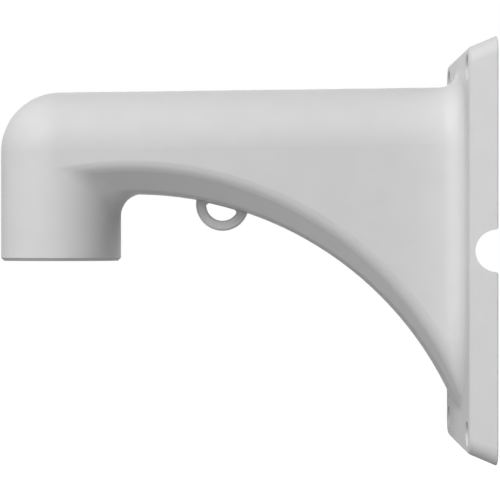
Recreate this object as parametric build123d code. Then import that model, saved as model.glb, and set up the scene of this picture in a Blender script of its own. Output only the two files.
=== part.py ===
from build123d import *
from math import cos, hypot, radians, sin, sqrt, tan
import os

# A cast aluminium wall bracket for a dome or pan-and-tilt camera: one hollow casting.
# Millimetres, +Z up. The wall is the plane X = 0, and the arm reaches towards -X.
# The origin is the centre of the plate's back face. The side with the cable notch faces -Y.

# Wall plate: a shallow box, open at the back
PLATE_W = 120.0          # across Y, at the back
PLATE_H = 203.2          # along Z, at the back
PLATE_T = 13.0           # depth of the plate's rim
PLATE_DRAFT = 22.0       # degrees that the rim's four sides lean in
PLATE_CORNER_R = 9.0     # rounding of the four leaning corners
PLATE_WALL = 3.2         # thickness of the front wall and the rim
PLATE_FRONT_BEVEL = 0.7  # bevel of the front face's edge
PLATE_BACK_BEVEL = 0.4   # bevel of the back face's outer edge

# Wall bolts
BOLT_FROM_SIDE = 16.5    # from the plate's side edge to the hole's axis
BOLT_FROM_END = 14.1     # from the plate's top or bottom edge to the hole's axis
BOLT_HOLE_R = 3.5        # clears an M6 screw
BOLT_HEAD_R = 6.2        # spot face for the screw's head
BOLT_HEAD_DEPTH = 2.2
BOSS_R = 7.5             # boss behind each hole, flush with the back

# Ribs in the plate's open back
RIB_T = 3.0
RIB_Z = 46.0             # the ribs beside the duct, above and below the middle
RIB_SHY = 1.0            # how far the ribs stay below the back face

# Elbow and collar
ELBOW_X = -210.8         # the collar's axis
ELBOW_Z = 49.0           # centre of the elbow's ball
TUBE_R = 29.8            # outside radius of the ball, the collar and the arm's top
COLLAR_BOTTOM_Z = -5.05
COLLAR_BEVEL = 1.5       # bevel of the collar's bottom edge
ARM_RISE = 0.75          # degrees that the arm's top climbs towards the wall
ARM_WALL = 4.0           # wall of the elbow and the arm

# Camera thread: a bore at the root of a G 1 1/2 pipe thread
THREAD_R = 23.9
THREAD_LENGTH = 26.0
THREAD_LEAD = 1.4        # chamfer at the bore's mouth

# Underside of the arm: a round arch from the collar down to the plate's foot
ARCH_FORE = 35.8         # the arch is highest this far in from the collar's axis
ARCH_TOP_Z = 28.4
FOOT_Z = -78.3           # where the arch meets the plate's front face
SOFFIT_HALF_W = 18.0     # half width of the arch's plain band
SOFFIT_EDGE_R = 5.0      # rounding between the plain band and the bevel beside it
CREASE_FORE = 37.0       # the bevel's upper crease is highest this far in
CREASE_TOP_UP = 12.0     # how far the crease lies above the arch at its top
CREASE_FOOT_UP = 7.2     # and where both meet the plate
CREASE_INSET = 0.3       # the crease lies this far inside the arm's side
CREASE_LEAN = 85.0       # degrees from level of the narrow band above the crease
CREASE_BAND = 6.0        # width of that band's surface, across Y
CREASE_ROLL_R = 8.0      # soft roll over the crease
ARMPIT_R = 11.0          # hollow corner between the collar and the underside
ROOT_R = 9.5             # flare of the arm into the plate

# Duct inside the arm
DUCT_FOOT_UP = 14.0      # the duct's foot at the plate, above the arch's foot

# Cable notch in the rim, on the -Y side
NOTCH_R = 10.0
NOTCH_X = -0.3           # centre of the notch's round end
NOTCH_DEEP = 30.0        # how far the channel runs in from the rim
NOTCH_LIP_R = 1.2        # rounding where the notch meets the back

# Safety eye under the arm
EYE_IN = 80.5            # from the collar's axis to the eye
EYE_UP = 0.4             # how far the eye's centre lies above the arch
EYE_OUTER_R = 13.2
EYE_INNER_R = 8.2
EYE_T = 5.5
EYE_BEVEL = 0.9          # bevel of the eye's rims
EYE_CORNER_R = 1.5       # corners of the D-shaped hole
EYE_WEB = 0.6            # what the hole leaves standing under the arch

PAST = 1.0               # how far a cut runs past the face that it opens
FOOT_SPARE = 4.0         # how far the arm's raw block runs below its foot
TOUCH = 0.01             # how near a point counts as lying on a surface
BEVEL_TURN = 22.5        # half the turn from soffit to bevel, in degrees

FLOOR_X = PLATE_WALL - PLATE_T   # floor of the plate's open back
BOTTOM_UP = (Align.CENTER, Align.CENTER, Align.MIN)


def arch_circle(top_x, top_z, foot_z):
    """Radius and centre height of a round arch with this top and this foot at the plate's front."""
    run = -PLATE_T - top_x
    drop = top_z - foot_z
    radius = (run**2 + drop**2) / (2 * drop)
    return radius, top_z - radius


ARCH_X = ELBOW_X + ARCH_FORE
ARCH_R, ARCH_Z = arch_circle(ARCH_X, ARCH_TOP_Z, FOOT_Z)
CREASE_X = ELBOW_X + CREASE_FORE
CREASE_R, CREASE_Z = arch_circle(CREASE_X, ARCH_TOP_Z + CREASE_TOP_UP, FOOT_Z + CREASE_FOOT_UP)


def wall_plane(x):
    """A plane parallel to the wall: its x is +Y and its y is +Z."""
    return Plane(origin=(x, 0, 0), x_dir=(0, 1, 0), z_dir=(1, 0, 0))


def side_disc(x, y, z, radius):
    """A round face parallel to the arm's side."""
    return Plane(origin=(x, y, z), x_dir=(1, 0, 0), z_dir=(0, 1, 0)) * Circle(radius)


def bar(x_low, x_high, y_low, y_high, z_low, z_high):
    """A square-edged block between six planes."""
    size = (x_high - x_low, y_high - y_low, z_high - z_low)
    middle = ((x_low + x_high) / 2, (y_low + y_high) / 2, (z_low + z_high) / 2)
    return Pos(*middle) * Box(*size)


def wall_rod(y, z, radius, x_low, x_high):
    """A round rod square to the wall."""
    return extrude(wall_plane(x_low) * Pos(y, z) * Circle(radius), x_high - x_low)


def lies_on(edge, on_surface):
    """Whether an edge keeps to a surface all along."""
    return all(on_surface(edge.position_at(t)) for t in (0, 0.3, 0.7, 1))


def side_arcs(shape, distance):
    """The round edges of a shape that lie at a distance from the mid-plane."""
    return [e for e in shape.edges().filter_by(GeomType.CIRCLE)
            if abs(abs(e.center().Y) - distance) < TOUCH]


def under_arm(inset, foot_z):
    """The space under the arm: the arch with a bevel on each side, still sharp."""
    crease_y = TUBE_R - CREASE_INSET - inset
    soffit_y = SOFFIT_HALF_W - inset * tan(radians(BEVEL_TURN))
    arch_r = ARCH_R + inset
    crease_r = CREASE_R + inset * tan(radians(BEVEL_TURN))
    lean_r = crease_r + CREASE_BAND * tan(radians(CREASE_LEAN))
    space = extrude(side_disc(ARCH_X, -soffit_y, ARCH_Z, arch_r), 2 * soffit_y)
    for side in (-1, 1):
        low = side_disc(ARCH_X, side * soffit_y, ARCH_Z, arch_r)
        crease = side_disc(CREASE_X, side * crease_y, CREASE_Z, crease_r)
        above = side_disc(CREASE_X, side * (crease_y + CREASE_BAND), CREASE_Z, lean_r)
        space += loft([low, crease], ruled=True)
        space += loft([crease, above], ruled=True)
    # Only the part of the arch near the arm is wanted
    wide = 2 * TUBE_R
    return space & bar(ELBOW_X - wide, 0, -wide, wide, foot_z - 2 * FOOT_SPARE, ELBOW_Z + wide)


def collar_post(inset, bottom_z):
    """The collar and the space above it as a plain post."""
    return Pos(ELBOW_X, 0, bottom_z) * Cylinder(TUBE_R - inset, ELBOW_Z - bottom_z, align=BOTTOM_UP)


def on_armpit(point):
    """Whether a point is where the underside runs into the collar."""
    on_collar = abs(hypot(point.X - ELBOW_X, point.Y) - TUBE_R) < TOUCH
    return on_collar and point.Z > COLLAR_BOTTOM_Z + TOUCH


def soft_under_arm():
    """The space under the arm as the casting's outside has it: soft creases and a hollow armpit."""
    space = under_arm(0, FOOT_Z)
    space = fillet(side_arcs(space, TUBE_R - CREASE_INSET), CREASE_ROLL_R)
    space = fillet(side_arcs(space, SOFFIT_HALF_W), SOFFIT_EDGE_R)
    space -= collar_post(0, COLLAR_BOTTOM_Z)
    armpit = [e for e in space.edges() if e.geom_type != GeomType.LINE and lies_on(e, on_armpit)]
    return fillet(armpit, ARMPIT_R)


def tube_form(inset, bottom_z, foot_z, space):
    """Elbow, collar and arm as one solid form, inset by a wall, less the space under the arm."""
    radius = TUBE_R - inset
    deep = ELBOW_Z - foot_z + FOOT_SPARE
    section = Pos(0, ELBOW_Z) * Circle(radius) + Pos(0, ELBOW_Z - deep / 2) * Rectangle(2 * radius, deep)
    along = (cos(radians(ARM_RISE)), 0, sin(radians(ARM_RISE)))
    reach = (-ELBOW_X - PLATE_T / 2) / cos(radians(ARM_RISE))
    arm = extrude(wall_plane(ELBOW_X) * section, reach, dir=along) - space

    # The nose is half a turn of the same section, so that both meet face to face
    tall = ELBOW_Z - bottom_z
    half = Pos(0, ELBOW_Z) * Circle(radius) + Pos(0, ELBOW_Z - tall / 2) * Rectangle(2 * radius, tall)
    half &= Pos(radius, ELBOW_Z) * Rectangle(2 * radius, 2 * tall)
    nose = revolve(wall_plane(ELBOW_X) * half, Axis((ELBOW_X, 0, 0), (0, 0, 1)), 180)
    return arm + nose


def plate_profile(plane, full, inset, back_x, front_x):
    """The plate seen along one of its sides: a wedge of full size at the wall, made endless."""
    lean = tan(radians(PLATE_DRAFT))
    thin = inset / cos(radians(PLATE_DRAFT))
    back = full / 2 + back_x * lean - thin
    front = full / 2 + front_x * lean - thin
    face = plane * Polygon((back_x, -back), (back_x, back), (front_x, front), (front_x, -front), align=None)
    return extrude(face, PLATE_H, both=True)


def plate_block(inset, back_x, front_x, corner_r):
    """The plate's block between two depths, with leaning sides, inset by a wall."""
    block = plate_profile(Plane.XY, PLATE_W, inset, back_x, front_x)
    block &= plate_profile(Plane.XZ, PLATE_H, inset, back_x, front_x)
    leaning = [e for e in block.edges() if abs(e.position_at(0).X - e.position_at(1).X) > TOUCH]
    return fillet(leaning, corner_r)


def plate_form():
    """The plate as a solid block, with its front and back edges bevelled."""
    block = plate_block(0, 0, -PLATE_T, PLATE_CORNER_R)
    for x, bevel in ((-PLATE_T, PLATE_FRONT_BEVEL), (0, PLATE_BACK_BEVEL)):
        block = chamfer([e for e in block.edges() if lies_on(e, lambda p: abs(p.X - x) < TOUCH)], bevel)
    return block


def on_arm_root(point):
    """Whether a point is where the arm meets the plate's front face."""
    within = abs(point.Y) < TUBE_R + TOUCH and abs(point.Z) < PLATE_H / 2 - PLATE_T
    return within and abs(point.X + PLATE_T) < TOUCH


def safety_eye():
    """A disc, half buried in the arm, with a D-shaped hole for the camera's safety wire."""
    near_y = -EYE_T / 2
    eye_x = ELBOW_X + EYE_IN
    eye_z = ARCH_Z + sqrt(ARCH_R**2 - (eye_x - ARCH_X)**2) + EYE_UP
    hole = extrude(side_disc(eye_x, near_y, eye_z, EYE_INNER_R), EYE_T)
    hole &= extrude(side_disc(ARCH_X, near_y, ARCH_Z, ARCH_R - EYE_WEB), EYE_T)
    hole = fillet(hole.edges().filter_by(Axis.Y), EYE_CORNER_R)
    eye = extrude(side_disc(eye_x, near_y, eye_z, EYE_OUTER_R), EYE_T) - hole
    rims = [e for e in eye.edges() if lies_on(e, lambda p: abs(abs(p.Y) - EYE_T / 2) < TOUCH)]
    return chamfer(rims, EYE_BEVEL)


def outer_form():
    """The casting's outside, still solid."""
    form = tube_form(0, COLLAR_BOTTOM_Z, FOOT_Z, soft_under_arm())
    form += safety_eye()
    form += plate_form()
    form = fillet([e for e in form.edges() if lies_on(e, on_arm_root)], ROOT_R)
    lip = [e for e in form.edges().filter_by(GeomType.CIRCLE) if abs(e.center().Z - COLLAR_BOTTOM_Z) < TOUCH]
    return chamfer(lip, COLLAR_BEVEL)


def thread_bore():
    """The collar's bore at the thread's root, with a lead-in at its mouth."""
    bore = Pos(ELBOW_X, 0, COLLAR_BOTTOM_Z - PAST) * Cylinder(
        THREAD_R, THREAD_LENGTH + 2 * PAST, align=BOTTOM_UP)
    mouth = Pos(ELBOW_X, 0, COLLAR_BOTTOM_Z) * Cone(
        THREAD_R + THREAD_LEAD, THREAD_R, THREAD_LEAD, align=BOTTOM_UP)
    return bore + mouth


def bolt_places():
    """The four bolts, as Y and Z."""
    across = PLATE_W / 2 - BOLT_FROM_SIDE
    up = PLATE_H / 2 - BOLT_FROM_END
    return [(y * across, z * up) for y in (-1, 1) for z in (-1, 1)]


def plate_ribs():
    """Bosses behind the bolts, with ribs that tie them and the duct's mouth to the rim."""
    low = FLOOR_X - PAST
    ribs = []
    for y, z in bolt_places():
        rim_y = PLATE_W / 2 if y > 0 else -PLATE_W / 2
        rim_z = PLATE_H / 2 if z > 0 else -PLATE_H / 2
        ribs.append(wall_rod(y, z, BOSS_R, low, 0))
        ribs.append(bar(low, -RIB_SHY, min(y, rim_y), max(y, rim_y), z - RIB_T / 2, z + RIB_T / 2))
        ribs.append(bar(low, -RIB_SHY, y - RIB_T / 2, y + RIB_T / 2, min(z, rim_z), max(z, rim_z)))
    for z in (-RIB_Z, RIB_Z):
        for y_low, y_high in ((-PLATE_W / 2, ARM_WALL - TUBE_R), (TUBE_R - ARM_WALL, PLATE_W / 2)):
            ribs.append(bar(low, -RIB_SHY, y_low, y_high, z - RIB_T / 2, z + RIB_T / 2))
    return ribs


def inner_form():
    """The hollow inside: camera thread, elbow, duct and the plate's open back."""
    thread_top = COLLAR_BOTTOM_Z + THREAD_LENGTH
    foot_z = FOOT_Z + DUCT_FOOT_UP
    space = under_arm(ARM_WALL, foot_z) - collar_post(ARM_WALL, thread_top)
    hollow = tube_form(ARM_WALL, thread_top, foot_z, space)
    hollow += plate_block(PLATE_WALL, PAST, FLOOR_X, PLATE_CORNER_R - PLATE_WALL)
    for rib in plate_ribs():
        hollow -= rib
    return hollow + thread_bore()


def bolt_cuts():
    """Through holes for the wall bolts, with a spot face for each head."""
    cuts = []
    for y, z in bolt_places():
        cuts.append(wall_rod(y, z, BOLT_HOLE_R, -PLATE_T - PAST, PAST))
        cuts.append(wall_rod(y, z, BOLT_HEAD_R, -PLATE_T - PAST, -PLATE_T + BOLT_HEAD_DEPTH))
    return cuts


def on_notch_lip(point):
    """Whether a point is where the notch's sides meet the back."""
    return abs(point.X) < TOUCH and abs(abs(point.Z) - NOTCH_R) < TOUCH


def notch_cut():
    """Half-round cable way through the rim, open to the wall, with soft lips at the back."""
    outside = -PLATE_W / 2 - PAST
    inside = -PLATE_W / 2 + NOTCH_DEEP
    cut = extrude(side_disc(NOTCH_X, outside, 0, NOTCH_R), inside - outside)
    cut += bar(NOTCH_X, PAST, outside, inside, -NOTCH_R, NOTCH_R)
    cut += bar(0, PAST, outside, inside, -2 * NOTCH_R, 2 * NOTCH_R)
    lips = [e for e in cut.edges() if lies_on(e, on_notch_lip)]
    return fillet(lips, NOTCH_LIP_R)


def bracket_casting():
    """The whole casting, hollow and drilled."""
    casting = outer_form() - inner_form()
    for cut in bolt_cuts():
        casting -= cut
    return casting - notch_cut()


def main():
    os.makedirs("parts", exist_ok=True)
    casting = bracket_casting()
    export_step(casting, "parts/bracket_casting.step")
    print(f"bracket_casting: {casting.volume / 1000:.1f} cm3, valid {casting.is_valid}")


main()
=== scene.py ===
from math import cos, pi, radians, sin

import bpy
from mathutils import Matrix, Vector


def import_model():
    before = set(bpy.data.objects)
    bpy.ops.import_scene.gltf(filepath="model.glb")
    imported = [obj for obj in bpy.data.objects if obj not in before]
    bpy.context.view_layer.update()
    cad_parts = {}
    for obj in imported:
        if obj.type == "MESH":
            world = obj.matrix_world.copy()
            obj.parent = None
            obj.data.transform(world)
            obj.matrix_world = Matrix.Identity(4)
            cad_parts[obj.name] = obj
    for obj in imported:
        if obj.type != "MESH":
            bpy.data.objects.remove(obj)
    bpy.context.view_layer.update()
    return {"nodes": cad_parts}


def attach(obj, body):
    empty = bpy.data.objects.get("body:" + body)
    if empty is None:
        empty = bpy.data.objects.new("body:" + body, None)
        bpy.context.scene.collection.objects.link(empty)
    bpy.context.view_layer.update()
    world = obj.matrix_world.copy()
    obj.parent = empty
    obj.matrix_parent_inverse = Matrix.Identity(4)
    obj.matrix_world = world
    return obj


# The camera wall bracket, in metres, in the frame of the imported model: the wall is the plane
# X = 0, the arm reaches towards -X and +Z is up. The photograph looks along +Y.

# Camera
CAMERA_AT = (-0.1119, -0.961, 0.0025)
CAMERA_LENS = 138.6             # mm
CAMERA_SENSOR = 36.0            # mm
CAMERA_DOWN = 0.133             # degrees that the view looks down
CAMERA_SHIFT = -0.0188          # sideways shift of the picture, as a part of its width

# Camera thread, G 1 1/2: the ridge that the plain bore leaves out
THREAD_X = -0.2108
THREAD_ROOT_R = 0.0239
THREAD_PITCH = 0.002309
THREAD_DEEP = 0.00148
THREAD_SUNK = 0.00015           # how far the ridge's foot lies inside the bore's wall
THREAD_FOOT = 0.94              # half width of the ridge's foot, as a part of half the pitch
THREAD_SHOULDER = 0.30          # half width of its shoulder, measured the same way
THREAD_SHOULDER_DEEP = 0.82     # how deep the shoulder lies, as a part of the ridge's depth
THREAD_LOW_Z = -0.0025
THREAD_HIGH_Z = 0.0182
THREAD_STEPS = 96               # sections in one turn
THREAD_FADE_TURNS = 0.4         # each end of the ridge runs out over this part of a turn

# Powder coat
COAT_COLOUR = (0.676, 0.676, 0.676)
COAT_SHADE_SPREAD = 0.015       # how far the colour strays to each side
COAT_ROUGHNESS = 0.64
COAT_ROUGHNESS_SPREAD = 0.04
COAT_SPECULAR = 0.35            # the coat's clear share of reflection, 0.5 being plain lacquer
PEEL_SIZE = 0.0016              # cell of the coat's orange peel
PEEL_DEPTH = 0.000022
GRAIN_SIZE = PEEL_SIZE / 3      # cell of the fine change in roughness
CASTING_SIZE = 0.014            # cell of the casting's slow unevenness
CASTING_DEPTH = 0.00006

# Aluminium that the thread cutter left bare
CUT_DARK = (0.58, 0.58, 0.57)
CUT_LIGHT = (0.70, 0.70, 0.69)
CUT_ROUGHNESS = (0.28, 0.42)
CUT_BLOTCH_SIZE = 0.006
CUT_LINE_SIZE = 0.00025         # spacing of the turning lines, up the bore
CUT_LINE_STRETCH = 0.05         # how much slower they change across it
CUT_LINE_DEPTH = 0.000008

NOISE_LOW = 0.3                 # most of a noise texture lies between these two values
NOISE_HIGH = 0.7

# Floor and lights
FLOOR_Z = -0.45
FLOOR_SIDE = 12.0
FLOOR_COLOUR = (0.36, 0.36, 0.36)
FLOOR_LIFT_NEAR = 0.72          # what the camera sees on top of the lit floor under the bracket
FLOOR_LIFT_FROM = 0.9           # the lift grows to 1 between these distances
FLOOR_LIFT_TO = 2.0
WHITE = (1, 1, 1, 1)
AIM = Vector((-0.12, 0.0, 0.01))
# The lamps stand round the bracket: degrees round from the camera's side towards the arm's tip,
# degrees up, watts
LAMP_DISTANCE = 3.0
LAMP_SIDE = 1.1
LAMPS = {
    "key_low": (34, 34, 38.0),
    "key_high": (45, 50, 38.0),
    "front": (0, 10, 19.1),
    "back_wall": (-125, 25, 34.0),
    "back": (180, 10, 19.0),
}


def new_material(name):
    """An empty node material with its output."""
    material = bpy.data.materials.new(name)
    material.use_nodes = True
    nodes = material.node_tree.nodes
    nodes.clear()
    output = nodes.new("ShaderNodeOutputMaterial")
    return material, nodes, material.node_tree.links, output


def noise(nodes, links, coords, cell, detail):
    """A noise texture with cells of a size in metres, on the object's own coordinates."""
    texture = nodes.new("ShaderNodeTexNoise")
    texture.inputs["Scale"].default_value = 1.0 / cell
    texture.inputs["Detail"].default_value = detail
    links.new(coords, texture.inputs["Vector"])
    return texture.outputs["Fac"]


def spread(nodes, links, value, low, high):
    """Maps a noise to a range of its own."""
    ramp = nodes.new("ShaderNodeMapRange")
    ramp.inputs["From Min"].default_value = NOISE_LOW
    ramp.inputs["From Max"].default_value = NOISE_HIGH
    ramp.inputs["To Min"].default_value = low
    ramp.inputs["To Max"].default_value = high
    links.new(value, ramp.inputs["Value"])
    return ramp.outputs["Result"]


def blend(nodes, links, value, first, second):
    """A colour that a noise moves between two others."""
    mix = nodes.new("ShaderNodeMix")
    mix.data_type = "RGBA"
    mix.inputs["A"].default_value = (*first, 1)
    mix.inputs["B"].default_value = (*second, 1)
    links.new(spread(nodes, links, value, 0.0, 1.0), mix.inputs["Factor"])
    return mix.outputs["Result"]


def bump(nodes, links, height, depth, below=None):
    """A bump of a depth in metres, laid on the bump below it."""
    node = nodes.new("ShaderNodeBump")
    node.inputs["Strength"].default_value = 1.0
    node.inputs["Distance"].default_value = depth
    links.new(height, node.inputs["Height"])
    if below is not None:
        links.new(below, node.inputs["Normal"])
    return node.outputs["Normal"]


def powder_coat():
    """Light grey satin powder coat over a sand casting."""
    material, nodes, links, output = new_material("powder_coat")
    coords = nodes.new("ShaderNodeTexCoord").outputs["Object"]
    slow = noise(nodes, links, coords, CASTING_SIZE, 3.0)
    peel = noise(nodes, links, coords, PEEL_SIZE, 2.0)
    grain = noise(nodes, links, coords, GRAIN_SIZE, 1.0)

    darker = [part * (1 - COAT_SHADE_SPREAD) for part in COAT_COLOUR]
    lighter = [part * (1 + COAT_SHADE_SPREAD) for part in COAT_COLOUR]
    smoothest = COAT_ROUGHNESS - COAT_ROUGHNESS_SPREAD
    roughest = COAT_ROUGHNESS + COAT_ROUGHNESS_SPREAD
    uneven = bump(nodes, links, slow, CASTING_DEPTH)
    skin = bump(nodes, links, peel, PEEL_DEPTH, uneven)

    coat = nodes.new("ShaderNodeBsdfPrincipled")
    coat.inputs["Specular IOR Level"].default_value = COAT_SPECULAR
    links.new(blend(nodes, links, slow, darker, lighter), coat.inputs["Base Color"])
    links.new(spread(nodes, links, grain, smoothest, roughest), coat.inputs["Roughness"])
    links.new(skin, coat.inputs["Normal"])
    links.new(coat.outputs["BSDF"], output.inputs["Surface"])
    return material


def cut_metal():
    """Aluminium left bare by the thread cutter, with its fine turning lines."""
    material, nodes, links, output = new_material("cut_aluminium")
    coords = nodes.new("ShaderNodeTexCoord").outputs["Object"]
    stretch = nodes.new("ShaderNodeMapping")
    stretch.inputs["Scale"].default_value = (CUT_LINE_STRETCH, CUT_LINE_STRETCH, 1.0)
    links.new(coords, stretch.inputs["Vector"])
    lines = noise(nodes, links, stretch.outputs["Vector"], CUT_LINE_SIZE, 2.0)
    blotches = noise(nodes, links, coords, CUT_BLOTCH_SIZE, 3.0)

    metal = nodes.new("ShaderNodeBsdfPrincipled")
    metal.inputs["Metallic"].default_value = 1.0
    links.new(blend(nodes, links, blotches, CUT_DARK, CUT_LIGHT), metal.inputs["Base Color"])
    links.new(spread(nodes, links, lines, *CUT_ROUGHNESS), metal.inputs["Roughness"])
    links.new(bump(nodes, links, lines, CUT_LINE_DEPTH), metal.inputs["Normal"])
    links.new(metal.outputs["BSDF"], output.inputs["Surface"])
    return material


def thread_section(turn, turns):
    """Radius offsets and heights of the ridge's section at a turn, fading at both ends."""
    fade = min(1.0, turn / THREAD_FADE_TURNS, (turns - turn) / THREAD_FADE_TURNS)
    crest = -THREAD_DEEP * fade
    shoulder = THREAD_SHOULDER_DEEP * crest
    half = THREAD_PITCH / 2
    wide = THREAD_FOOT * half
    narrow = THREAD_SHOULDER * half
    return [(THREAD_SUNK, -wide), (shoulder, -narrow), (crest, 0.0), (shoulder, narrow),
            (THREAD_SUNK, wide)]


def thread_corners(turns, steps):
    """The ridge's sections, one after the other up the helix."""
    corners = []
    for step in range(steps + 1):
        turn = turns * step / steps
        angle = 2 * pi * turn
        for off, up in thread_section(turn, turns):
            radius = THREAD_ROOT_R + off
            height = THREAD_LOW_Z + turn * THREAD_PITCH + up
            corners.append((THREAD_X + radius * cos(angle), radius * sin(angle), height))
    return corners


def thread_faces(steps, count):
    """Faces between neighbouring sections of so many corners, and one over each end."""
    faces = []
    for step in range(steps):
        first = step * count
        for corner in range(count):
            along = (corner + 1) % count
            faces.append((first + corner, first + count + corner, first + count + along,
                          first + along))
    faces.append(tuple(range(count)))
    faces.append(tuple(reversed(range(steps * count, (steps + 1) * count))))
    return faces


def camera_thread():
    """The helical ridge inside the collar."""
    turns = (THREAD_HIGH_Z - THREAD_LOW_Z) / THREAD_PITCH
    steps = round(turns * THREAD_STEPS)
    count = len(thread_section(0, turns))
    mesh = bpy.data.meshes.new("camera_thread")
    mesh.from_pydata(thread_corners(turns, steps), [], thread_faces(steps, count))
    mesh.validate()
    for face in mesh.polygons:
        face.use_smooth = len(face.vertices) < count
    ridge = bpy.data.objects.new("camera_thread", mesh)
    bpy.context.collection.objects.link(ridge)
    return ridge


def seen(nodes, links):
    """1 for the camera, for reflections and for what is seen through glass, else 0."""
    path = nodes.new("ShaderNodeLightPath")
    total = path.outputs["Is Camera Ray"]
    for name in ("Is Glossy Ray", "Is Transmission Ray"):
        either = nodes.new("ShaderNodeMath")
        either.operation = "MAXIMUM"
        links.new(total, either.inputs[0])
        links.new(path.outputs[name], either.inputs[1])
        total = either.outputs["Value"]
    return total


def floor_lift(nodes, links):
    """How much white the camera sees on the floor: less under the bracket, where it is lit."""
    away = nodes.new("ShaderNodeVectorMath")
    away.operation = "LENGTH"
    links.new(nodes.new("ShaderNodeTexCoord").outputs["Object"], away.inputs[0])
    grow = nodes.new("ShaderNodeMapRange")
    grow.inputs["From Min"].default_value = FLOOR_LIFT_FROM
    grow.inputs["From Max"].default_value = FLOOR_LIFT_TO
    grow.inputs["To Min"].default_value = FLOOR_LIFT_NEAR
    grow.inputs["To Max"].default_value = 1.0
    links.new(away.outputs["Value"], grow.inputs["Value"])
    strength = nodes.new("ShaderNodeMath")
    strength.operation = "MULTIPLY"
    links.new(grow.outputs["Result"], strength.inputs[0])
    links.new(seen(nodes, links), strength.inputs[1])
    return strength.outputs["Value"]


def floor_paint():
    """Pale paint that takes the shadow, with the white that the camera sees added to it."""
    material, nodes, links, output = new_material("pale_floor")
    paint = nodes.new("ShaderNodeBsdfDiffuse")
    paint.inputs["Color"].default_value = (*FLOOR_COLOUR, 1)
    lift = nodes.new("ShaderNodeEmission")
    lift.inputs["Color"].default_value = WHITE
    links.new(floor_lift(nodes, links), lift.inputs["Strength"])
    both = nodes.new("ShaderNodeAddShader")
    links.new(paint.outputs["BSDF"], both.inputs[0])
    links.new(lift.outputs["Emission"], both.inputs[1])
    links.new(both.outputs["Shader"], output.inputs["Surface"])
    return material


def floor():
    """A pale floor, white to the camera, that keeps the bracket's soft shadow."""
    half = FLOOR_SIDE / 2
    outline = ((-half, -half), (half, -half), (half, half), (-half, half))
    mesh = bpy.data.meshes.new("floor")
    mesh.from_pydata([(x, y, FLOOR_Z) for x, y in outline], [], [(0, 1, 2, 3)])
    mesh.materials.append(floor_paint())
    plane = bpy.data.objects.new("floor", mesh)
    bpy.context.collection.objects.link(plane)
    return plane


def surround():
    """White to the camera and in reflections, and black to all other light."""
    world = bpy.data.worlds.new("surround")
    world.use_nodes = True
    nodes = world.node_tree.nodes
    links = world.node_tree.links
    nodes.clear()
    output = nodes.new("ShaderNodeOutputWorld")
    white = nodes.new("ShaderNodeBackground")
    white.inputs["Color"].default_value = WHITE
    links.new(seen(nodes, links), white.inputs["Strength"])
    links.new(white.outputs["Background"], output.inputs["Surface"])
    bpy.context.scene.world = world


def lamps():
    """Soft square lamps around the bracket, each aimed at its middle."""
    for name, (degrees_round, degrees_up, power) in LAMPS.items():
        turn = radians(degrees_round)
        up = radians(degrees_up)
        away = Vector((-sin(turn) * cos(up), -cos(turn) * cos(up), sin(up)))
        light = bpy.data.lights.new(name, "AREA")
        light.size = LAMP_SIDE
        light.energy = power
        lamp = bpy.data.objects.new(name, light)
        lamp.location = AIM + away * LAMP_DISTANCE
        lamp.rotation_euler = away.to_track_quat("Z", "Y").to_euler()
        lamp.visible_camera = False
        bpy.context.collection.objects.link(lamp)


def camera():
    """The photograph's view: square to the bracket's side, with a long lens."""
    data = bpy.data.cameras.new("camera")
    data.lens = CAMERA_LENS
    data.sensor_width = CAMERA_SENSOR
    data.shift_x = CAMERA_SHIFT
    viewer = bpy.data.objects.new("camera", data)
    viewer.location = CAMERA_AT
    viewer.rotation_euler = (radians(90 - CAMERA_DOWN), 0, 0)
    bpy.context.collection.objects.link(viewer)
    bpy.context.scene.camera = viewer


def coat_casting(casting):
    """Gives the casting its powder coat."""
    casting.data.materials.clear()
    casting.data.materials.append(powder_coat())


def main():
    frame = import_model()
    bpy.context.scene.view_settings.view_transform = "Standard"
    camera()
    surround()
    lamps()
    floor()

    coat_casting(frame["nodes"]["bracket_casting"])
    ridge = camera_thread()
    ridge.data.materials.append(cut_metal())
    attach(ridge, "root")


main()
